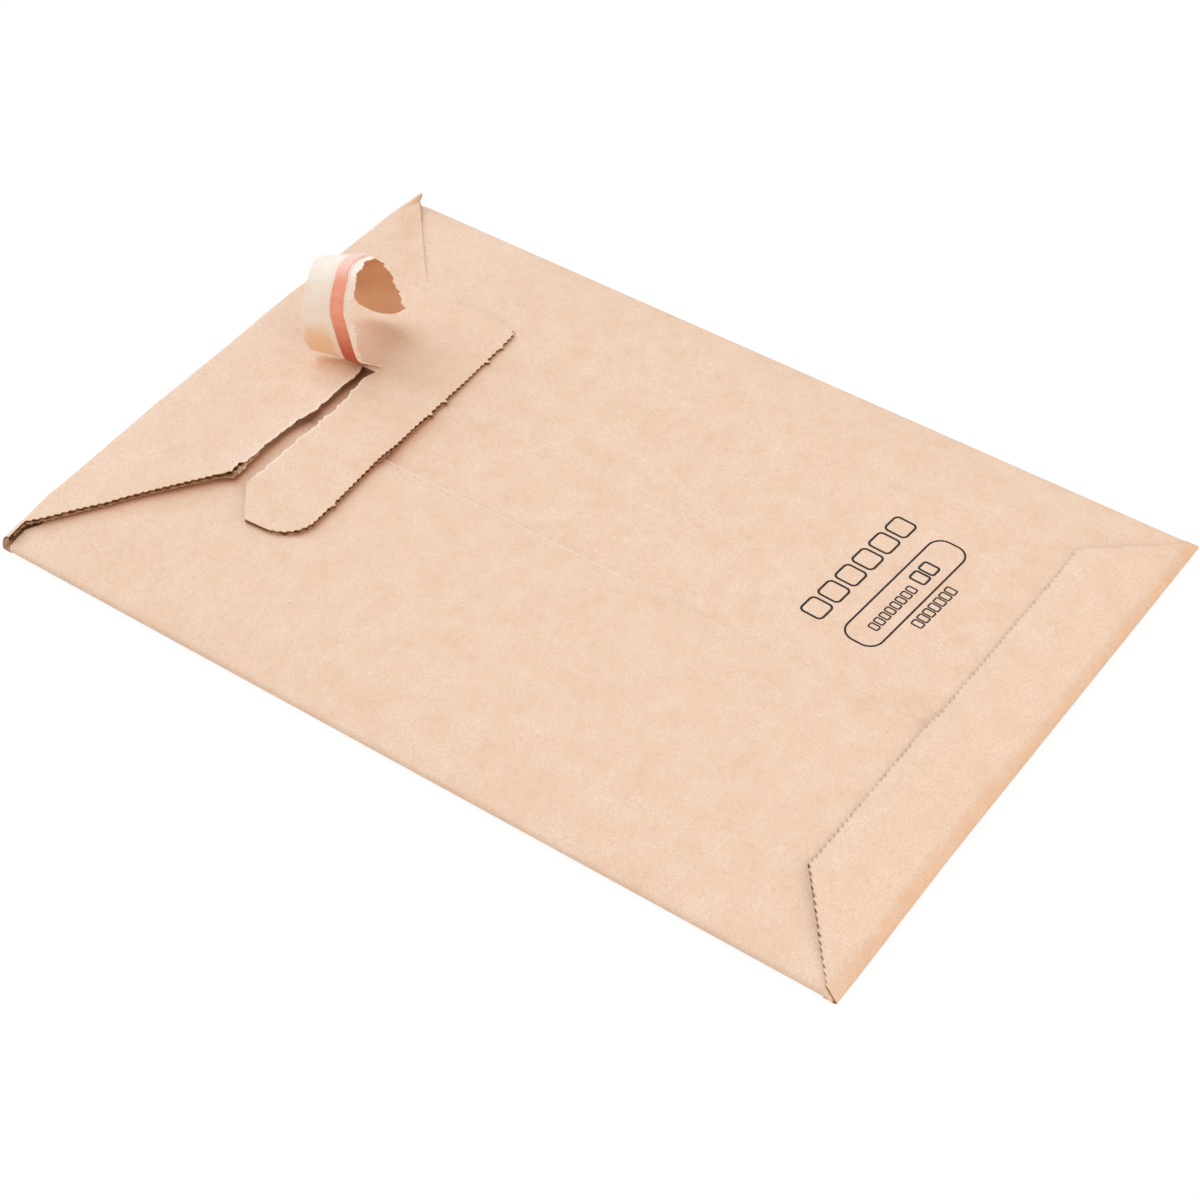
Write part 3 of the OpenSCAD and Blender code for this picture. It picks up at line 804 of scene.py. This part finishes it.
def split_height(x, y):
    """Outer liner, which comes away from the flutes at the near torn corner."""
    crumpled = 0.25 * np.sin(x * 1.3 + 0.4) + 0.15 * np.sin(x * 2.9 + y)
    leaf = dot(x, y, torn_corner_x + 1, flap_edge_y + 0.5, 4.5, 3.4)
    return closure_height(x, y) + (leaf_lift + crumpled) * leaf


def closure_edge(x, size, seed, setback=0.0, peel=0.0):
    """Toothed near slant, a torn edge up to the tear point and a plain far slant."""
    near = np.interp(x, slant_x, slant_y)
    edge = toothed(x, np.where(x <= tab_x, near, far_slant(x)), 1, 1 - ease(x, slant_end_x - 1, slant_end_x))
    torn = ease(x, slant_end_x, slant_end_x + 3) * ease(tear_x - x, 0, 3)
    rough = 1 + 0.7 * np.exp(-((x - torn_corner_x - 2) / 4) ** 2)
    peeled = peel * np.exp(-((x - torn_corner_x - 2) / 3.2) ** 2)
    return np.minimum(edge + peeled + torn * (setback + rough * jag(x, 2.6, size, seed)), fold_y)


def closure_wear_and_painted_light(x, upper, distance):
    """Bare places, and paler painted light toward the mouth, on the whole outer face; torn places and a
    painted shade line on its flat rows.
    """
    flat_x = np.repeat(x[:, None], distance.shape[1], 1)
    along = ease(flat_x, slant_end_x, slant_end_x + 6) * ease(tear_x - flat_x, -1, 12)
    reach = 7.5 + jag(x, 9, 3.5, 8.0)[:, None]
    bare_and_painted_light = along * ease(reach - distance, -3, 4) * 0.55
    # Painted light: toward the mouth the face is made paler
    bare_and_painted_light = np.maximum(pad(bare_and_painted_light), 0.3 * ease(upper[..., 1], 106, 126))
    torn = along * ease(1.2 - distance, 0, 0.9) * 0.8
    # A painted shade line along the far slant
    line = 0.15 * ease(flat_x, tab_x + 4, tab_x + 8) * ease(0.4 - distance, 0, 0.3)
    return bare_and_painted_light, torn, line


def closure_plies():
    """Three plies of the closure flap and the mouth fold."""
    x = columns(mouth_near_x, mouth_far_x, slant_x[1:-1] + [tear_x, tab_x, tab_x + 0.01])
    press = ease(x, tab_x - 1, tab_x) * (0.88 + 0.11 * ease(tab_x + 9 - x, 0, 6))
    burr = 0.2 * ease(slant_end_x + 2 - x, 0, 3)

    def ply(depth, edge, height):
        return folded(x, edge, 1, (mouth_near_x, mouth_far_x), (corner_x, corner_x), depth, height,
                      press, mouth_press_l, burr, True)

    def finish(piece, *replaced):
        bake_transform(piece)
        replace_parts(piece, *replaced)

    edge = closure_edge(x, 0.5, 3.0, 0.15, leaf_peel)
    upper, distance = ply(0.0, edge, split_height)
    bare_and_painted_light, torn, line = closure_wear_and_painted_light(x, upper, distance)
    outer = slab("closure_flap_liner", upper, ply(liner_t, edge, split_height)[0], OUTER_PLY,
                 {"bare_and_painted_light": bare_and_painted_light, "torn": pad(torn), "cut": pad(line)})
    finish(outer, "closure_flap_outer_liner", "mouth_crease")
    # In the slot the flutes and the inner ply are torn further back
    slot = ease(x, -36, -28)
    torn = torn * (1 - slot)[:, None]
    edge = closure_edge(x, 0.5, 5.0, 0.1 + 0.6 * slot)
    # In the lower part of the fold the flutes are crushed flat, so the flutes start above it
    start = len(crease_turn) + 6
    flutes = slab("closure_flap_flutes", ply(wave(x), edge, closure_height)[0][:, start:],
                  ply(wave(x) + medium_t, edge, closure_height)[0][:, start:], FLUTES,
                  {"torn": pad(torn)[:, start:]})
    finish(flutes, "closure_flap_fluting")
    edge = closure_edge(x, 0.45, 7.0, -0.2 + 1.1 * slot)
    inner = slab("closure_flap_inner_ply", ply(board_t - liner_t, edge, closure_height)[0],
                 ply(board_t, edge, closure_height)[0], INNER_PLY, {"torn": pad(torn)})
    finish(inner, "closure_flap_inner_liner")


closure_plies()


# Seal tab
def tab_columns():
    """Places along the tab, close together at its rounded corners."""
    turn = np.radians(np.linspace(0, 90, 64))
    near = -tab_w + tab_corner_r * (1 - np.cos(turn))
    far = -tab_far_corner_r * (1 - np.cos(turn[::3]))
    even = np.arange(-tab_w + tab_corner_r, -tab_far_corner_r, flute_pitch / 8)
    return np.unique(np.round(np.concatenate([near, even, far, torn_u[1:]]), 4))


def tab_outer_edge(u):
    """Toothed outer edge of the tab with its rounded corners and nibs, along the tab's own axes."""
    plain = tab_drop(u) - tab_d
    bite = teeth(u, plain)
    for x in nicks_x:
        bite = bite - nick_d * np.exp(-((u - x + tab_x) / nick_w) ** 4)
    return plain + bite


def tab_torn_edge(u, size, seed):
    """Torn edge of the tab, up to the tear point, with the slanted grip cut at its near end."""
    torn = ease(u, grip_corner_u - 1, grip_corner_u + 3) * ease(tear_x - tab_x - u, 0.3, 3)
    return np.interp(u, torn_u, torn_v) + torn * (jag(u, 2.3, size, seed) - 0.3 * size)


def tab_grid(u, low, high, depth):
    """Grid at a depth under the tab's outer face, with the distance to its torn edge."""
    share = (1 - np.cos(np.linspace(0, np.pi, 17))) / 2
    v = low[:, None] + (high - low)[:, None] * share[None, :]
    u = np.repeat(u[:, None], v.shape[1], 1)
    x, y = tab_place(u, v)
    depth = np.broadcast_to(depth, u[:, 0].shape)[:, None]
    z = laid(flap_height(x, y), depth, v - low[:, None], 0.4 * ease(x, 12, 32), tab_press_l, 0.22)
    return np.stack([x, y, z], -1), high[:, None] - v


def tab_plies():
    """Three plies of the seal tab."""
    u = tab_columns()
    low = tab_outer_edge(u)

    def ply(depth, high):
        return tab_grid(u, low, high, depth)

    high = tab_torn_edge(u, 0.7, 2.0)
    upper, from_tear = ply(0.0, high)
    torn = ease(tear_x - upper[..., 0], 0, 6) * ease(u, grip_corner_u, grip_corner_u + 4)[:, None]
    torn = torn * ease(1.1 - from_tear, 0, 0.9)
    outer = slab("seal_tab_liner", upper, ply(liner_t, high)[0], OUTER_PLY, {"torn": torn})
    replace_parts(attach(outer, "pocket"), "seal_tab_outer_liner")
    high = np.minimum(high, tab_torn_edge(u, 0.7, 4.0)) - 0.25 * ease(tear_x - tab_x - u, 0, 3)
    flutes = slab("seal_tab_flutes", ply(wave(u), high)[0], ply(wave(u) + medium_t, high)[0], FLUTES)
    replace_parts(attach(flutes, "pocket"), "seal_tab_fluting")
    high = np.minimum(high, tab_torn_edge(u, 0.6, 6.0)) - 0.1 * ease(tear_x - tab_x - u, 0, 3)
    inner = slab("seal_tab_inner_ply", ply(board_t - liner_t, high)[0], ply(board_t, high)[0], INNER_PLY)
    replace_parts(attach(inner, "pocket"), "seal_tab_inner_liner")


tab_plies()


def tab_adhesive():
    """Adhesive under the tab, along its outer edge."""
    u = np.linspace(-tab_w + tab_corner_r, -tab_corner_r, 45)[:, None]
    v = np.linspace(-tab_d + glue_margin, -tab_d + glue_margin + adhesive_w, 6)[None, :]
    x, y = tab_place(u, v)
    film("seal_adhesive_film", "seal_adhesive", x, y, film_gap, adhesive_t, "pocket", GLUE)


tab_adhesive()


# Part of the tear strip that is not torn yet
def strip_plies():
    """Three plies of the strip and its tape."""
    x = np.append(np.arange(tear_x, tab_x, flute_pitch / 8), tab_x)
    low = tab_start_y + (x - tab_x) * math.tan(tab_skew)
    share = np.linspace(0, 1, 7)[None, :]
    y = low[:, None] + (flap_edge_y - low)[:, None] * share
    x = np.repeat(x[:, None], y.shape[1], 1)

    def ply(depth, inset=0.0):
        back = inset * np.clip(1 - (x - tear_x) / 4, 0, 1)
        return np.stack([x + back, y, flap_height(x, y) - depth], -1)

    torn = ease(tear_x + 1.6 - x, 0, 1.2)
    # Painted shade: the strip's flutes and inner ply darken near the point of the tear
    dark = ease(tear_x + 6 - x, 0, 3)
    outer = slab("tear_strip_liner", ply(0.0), ply(liner_t), OUTER_PLY, {"torn": torn})
    flutes = slab("tear_strip_flutes", ply(wave(x), flute_inset), ply(wave(x) + medium_t, flute_inset),
                  FLUTES, {"painted_shade": dark})
    inner = slab("tear_strip_inner_ply", ply(board_t - liner_t, inner_inset), ply(board_t, inner_inset),
                 INNER_PLY, {"painted_shade": dark})
    for piece, node in [(outer, "outer_liner"), (flutes, "fluting"), (inner, "inner_liner")]:
        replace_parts(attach(piece, "tear_strip"), "tear_strip_" + node)
    middle = flap_edge_y - 0.3 - np.linspace(tape_w, 0, 5)
    x, y = np.meshgrid(np.linspace(tear_x + 0.3, tab_x, 24), middle, indexing="ij")
    film("tear_strip_tape", "tear_tape", x, y, tape_gap, tape_t, "tear_strip", TAPE)


strip_plies()


# Torn end
curl_root = np.array([curl_root_x, curl_root_y, curl_lift])
curl_root[2] += flap_height(np.array(tear_x), np.array(curl_root_y))


def curl_path(s):
    """Places along the curl, walked in the heading that it has there."""
    heading = np.radians(np.interp(s / chord_l, *curl_heading))
    middle = (heading[1:] + heading[:-1]) / 2
    step = np.diff(s)
    x = np.concatenate([[0], np.cumsum(step * np.cos(middle))])
    z = np.concatenate([[0], np.cumsum(step * np.sin(middle))])
    return x, z, heading


def crumple(s, w):
    """Small dents and two cross creases of the curl."""
    dents = [[noise.noise(Vector((a / 11, b / 8, 2.5))) for b in row] for a, row in zip(s, w)]
    creases = sum(height * np.exp(-((s - place) / width) ** 2) for place, height, width in curl_creases)
    return (0.5 * np.array(dents) + creases[:, None]) * ease(s, 1, 12)[:, None]


def curl_grid(s, near_w, far_w, depth, count):
    """Grid of the curl at a depth, between two widths given along its length."""
    x, z, heading = curl_path(s)
    lean = np.radians(np.interp(s / chord_l, *curl_lean))[:, None]
    w = near_w[:, None] + (far_w - near_w)[:, None] * np.linspace(0, 1, count)[None, :]
    depth = depth + crumple(s, w)
    drift = np.interp(s / chord_l, *curl_drift)[:, None]
    x = x[:, None] - depth * np.sin(heading)[:, None] - (w + drift) * math.sin(peel_angle)
    z = z[:, None] + depth * np.cos(heading)[:, None]
    y = z * np.sin(lean) + (w + drift) * np.cos(lean)
    z = z * np.cos(lean) - (w + drift) * np.sin(lean)
    return curl_root + np.stack([x, y, z], -1), w


def torn_end():
    """Liner, core and tape of the curled end, each a sheet along the same path."""
    radius = curl_w / 2
    tip_l = curl_l - chord_l
    tip = np.sin(np.radians(np.arange(0, 88, 4)))
    s = np.concatenate([np.arange(0, chord_l, 0.4), chord_l + tip_l * tip])
    taper = np.sqrt(1 - np.clip((s - chord_l) / tip_l, 0, 1))
    half = radius * taper
    fringe = np.interp(s / chord_l, *fringe_w)
    low = radius - half + (0.15 + jag(s, 1.7, 0.8, 11.0)) * taper - 2.6 * ease(7 - s, 0, 5)
    high = radius + half + jag(s, 2.6, 0.8, 13.0) * taper - 9 * ease(4 - s, 0, 4)
    inside, w = curl_grid(s, low, high, 0.0, 33)
    outside = curl_grid(s, low, high, liner_t, 33)[0]
    along = np.repeat((s / curl_l)[:, None], w.shape[1], 1)
    tan = ease(0.26 - along, -0.1, 0.08) * ease(w, 5.0, 9.0)
    # Painted shade on the inside of the curl, over all but its tip, and a band near the cross creases
    shade = 0.3 * ease(0.94 - along, 0, 0.16) + 0.2 * np.exp(-((along - 0.66) / 0.025) ** 2)
    liner = slab("torn_end_liner", outside, inside, [TORN, KRAFT_CURL_PAINTED_SHADE, TORN], {"tan": tan, "painted_shade": shade})
    core_low = radius + (fringe - 0.3 - radius) * taper + jag(s, 1.4, 0.35, 17.0)
    core_high = radius + (fringe + curl_tape_w - radius) * taper
    core_faces = [curl_grid(s, core_low, core_high, depth, 9)[0] for depth in curl_core_depth]
    core = slab("torn_end_core", *core_faces, [TORN] * 3)
    tape_low = radius + (fringe - radius) * taper
    # Painted shade: deep red at the root of the curl's tape; painted highlight: pale from the top of the
    # curl to its tip
    deep = np.repeat(0.95 * ease(0.36 - s / curl_l, 0, 0.26)[:, None], 9, 1)
    faded = np.repeat(0.75 * ease(s / curl_l, 0.43, 0.55)[:, None], 9, 1)
    tape_faces = [curl_grid(s, tape_low, core_high, depth, 9)[0] for depth in curl_tape_depth]
    tape = slab("torn_end_tape", *tape_faces, [TAPE] * 3, {"deep": deep, "faded": faded})
    for piece, node in [(liner, "torn_strip_liner"), (core, "torn_strip_core"), (tape, "torn_tear_tape")]:
        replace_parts(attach(piece, "torn_end"), node)


torn_end()


# Printed field: rows of empty boxes stand where a real mailer carries its printing
field_x, field_y = 27.6, 53.0 - mouth_y
field_w, field_h, field_r = 46.4, 11.0, 4.2
print_skew = math.radians(-3)
ink_t = 0.03
frame_line, bold_line, fine_line = 0.6, 0.68, 0.48


def unit(vectors):
    return vectors / np.linalg.norm(vectors, axis=1)[:, None]


def stroke(name, points, width):
    """A closed printed line along points given from the middle of the field."""
    points = np.array(points, float)
    ahead = np.roll(points, -1, 0) - points
    behind = points - np.roll(points, 1, 0)
    along = unit(unit(ahead) + unit(behind))
    across = np.stack([-along[:, 1], along[:, 0]], -1) * width / 2
    lines = np.stack([points - across, points + across], 1)
    lines = np.concatenate([lines, lines[:1]])
    c, s = math.cos(print_skew), math.sin(print_skew)
    x = field_x + lines[..., 0] * c - lines[..., 1] * s
    y = field_y + lines[..., 0] * s + lines[..., 1] * c
    z = back_height(x, y, far_top)
    return flat_slab(name, x, y, z + ink_t, z - ink_t, [INK] * 3)


def rounded(width, height, radius, step=0.8):
    """Outline of a rounded rectangle, with points close enough to lie on the board."""
    centres = np.array([(1, 1), (-1, 1), (-1, -1), (1, -1)]) * [width / 2 - radius, height / 2 - radius]
    points = []
    for k, centre in enumerate(centres):
        for a in np.radians(np.linspace(90 * k, 90 * k + 90, 10)):
            points.append(centre + radius * np.array([math.cos(a), math.sin(a)]))
        run = centres[(k + 1) % 4] - centre
        length = np.linalg.norm(run)
        start = points[-1]
        for part in range(1, int(length / step)):
            points.append(start + run * part * step / length)
    return points


def box_row(name, count, size, step, middle, width):
    """A row of empty boxes, read along the field."""
    parts = []
    for k in range(count):
        shift = np.array([middle[0] + (k - (count - 1) / 2) * step, middle[1]])
        outline = [p + shift for p in rounded(size[0], size[1], 0.22 * size[0], 0.6)]
        parts.append(stroke(f"{name}_{k + 1}", outline, width))
    return parts


def printed_field():
    """A rounded frame with rows of boxes in it and beside it."""
    parts = [stroke("print_frame", rounded(field_w, field_h, field_r), frame_line)]
    parts += box_row("print_large_box", 6, (6.2, 6.8), 7.9, (0.4, 15.2), bold_line)
    parts += box_row("print_middle_box", 8, (1.7, 2.9), 2.5, (-7.0, -0.6), fine_line)
    parts += box_row("print_wide_box", 2, (3.4, 4.8), 4.4, (9.2, 0.2), bold_line)
    parts += box_row("print_small_box", 7, (1.9, 3.2), 2.6, (0.0, -9.0), fine_line)
    for piece in parts:
        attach(piece, "pocket")


printed_field()


# Finishes of the front panel, whose CAD nodes stay
for material, ply in [(KRAFT, "outer_liner"), (KRAFT_INSIDE, "inner_liner"), (MEDIUM_AND_PAINTED_SHADE, "fluting")]:
    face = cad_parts["front_" + ply].data
    face.materials.clear()
    face.materials.append(material)


# Studio
def seen_directly(tree):
    """1 for rays from the camera, off gloss and through glass, which show a white background."""
    path = add(tree, "ShaderNodeLightPath")
    direct = maths(tree, "MAXIMUM", path.outputs["Is Camera Ray"], path.outputs["Is Glossy Ray"])
    return maths(tree, "MAXIMUM", direct, path.outputs["Is Transmission Ray"])


def either(tree, share, first, second):
    """First shader, covered by the second by a share."""
    made = tree.nodes.new("ShaderNodeMixShader")
    for socket, value in zip(made.inputs, [share, first, second]):
        tree.links.new(value, socket)
    return made.outputs[0]


def studio_floor():
    """White floor: bright to the camera, paper white to the light that bounces off it, clear from below."""
    mesh = bpy.data.meshes.new("floor")
    half = 3.0
    below = -0.0003
    corners = [(-half, -half, below), (half, -half, below), (half, half, below), (-half, half, below)]
    mesh.from_pydata(corners, [], [(0, 1, 2, 3)])
    floor = put("floor", mesh)
    material = bpy.data.materials.new("floor_white")
    material.use_nodes = True
    tree = material.node_tree
    tree.nodes.clear()
    paper = add(tree, "ShaderNodeBsdfDiffuse", Color=(0.86, 0.86, 0.86, 1))
    shade = add(tree, "ShaderNodeBsdfDiffuse", Color=(0.12, 0.12, 0.12, 1))
    glow = add(tree, "ShaderNodeEmission", Color=(1, 1, 1, 1), Strength=0.9)
    seen = tree.nodes.new("ShaderNodeAddShader")
    tree.links.new(shade.outputs[0], seen.inputs[0])
    tree.links.new(glow.outputs[0], seen.inputs[1])
    above = either(tree, seen_directly(tree), paper.outputs[0], seen.outputs[0])
    clear = add(tree, "ShaderNodeBsdfTransparent")
    side = add(tree, "ShaderNodeNewGeometry")
    sided = either(tree, side.outputs["Backfacing"], above, clear.outputs[0])
    output = add(tree, "ShaderNodeOutputMaterial")
    tree.links.new(sided, output.inputs["Surface"])
    mesh.materials.append(material)


def studio_world():
    """Even dome light, white to the camera."""
    world = bpy.data.worlds.new("studio")
    bpy.context.scene.world = world
    world.use_nodes = True
    tree = world.node_tree
    light = tree.nodes["Background"]
    light.inputs["Color"].default_value = (1, 0.9, 0.8, 1)
    light.inputs["Strength"].default_value = 0.62
    white = add(tree, "ShaderNodeBackground", Color=(1, 1, 1, 1), Strength=1.0)
    shown = either(tree, seen_directly(tree), light.outputs[0], white.outputs[0])
    tree.links.new(shown, tree.nodes["World Output"].inputs["Surface"])


def area_light(name, place, aim, size, power, colour=(1, 1, 1)):
    data = bpy.data.lights.new(name, "AREA")
    data.size = size
    data.energy = power
    data.color = colour
    lamp = put(name, data)
    lamp.location = place
    lamp.visible_camera = False
    lamp.rotation_euler = (Vector(aim) - Vector(place)).to_track_quat("-Z", "Y").to_euler()


def studio_camera():
    """Camera at the photograph's viewing angle."""
    azimuth, elevation = math.radians(-54.73), math.radians(44.75)
    distance = 745.3
    aim = Vector((-15.19, -11.24, 0.0)) * MM
    away = Vector((math.sin(azimuth) * math.cos(elevation), -math.cos(azimuth) * math.cos(elevation),
                   math.sin(elevation)))
    data = bpy.data.cameras.new("camera")
    data.sensor_width = 36.0
    data.lens = 83.62
    data.clip_start, data.clip_end = 0.01, 20
    camera = put("camera", data)
    camera.location = aim + away * distance * MM
    camera.rotation_euler = (-away).to_track_quat("-Z", "Y").to_euler()
    bpy.context.scene.camera = camera


studio_floor()
studio_world()
area_light("key", (0.0, 3.9, 5.8), (0, 0, 0), 8.0, 400, (0.672, 0.836, 1))
area_light("fill", (-0.15, -1.15, 0.22), (0, -0.1, 0), 0.8, 4.4, (1, 0.86, 0.72))
studio_camera()
bpy.context.scene.view_settings.view_transform = "Standard"
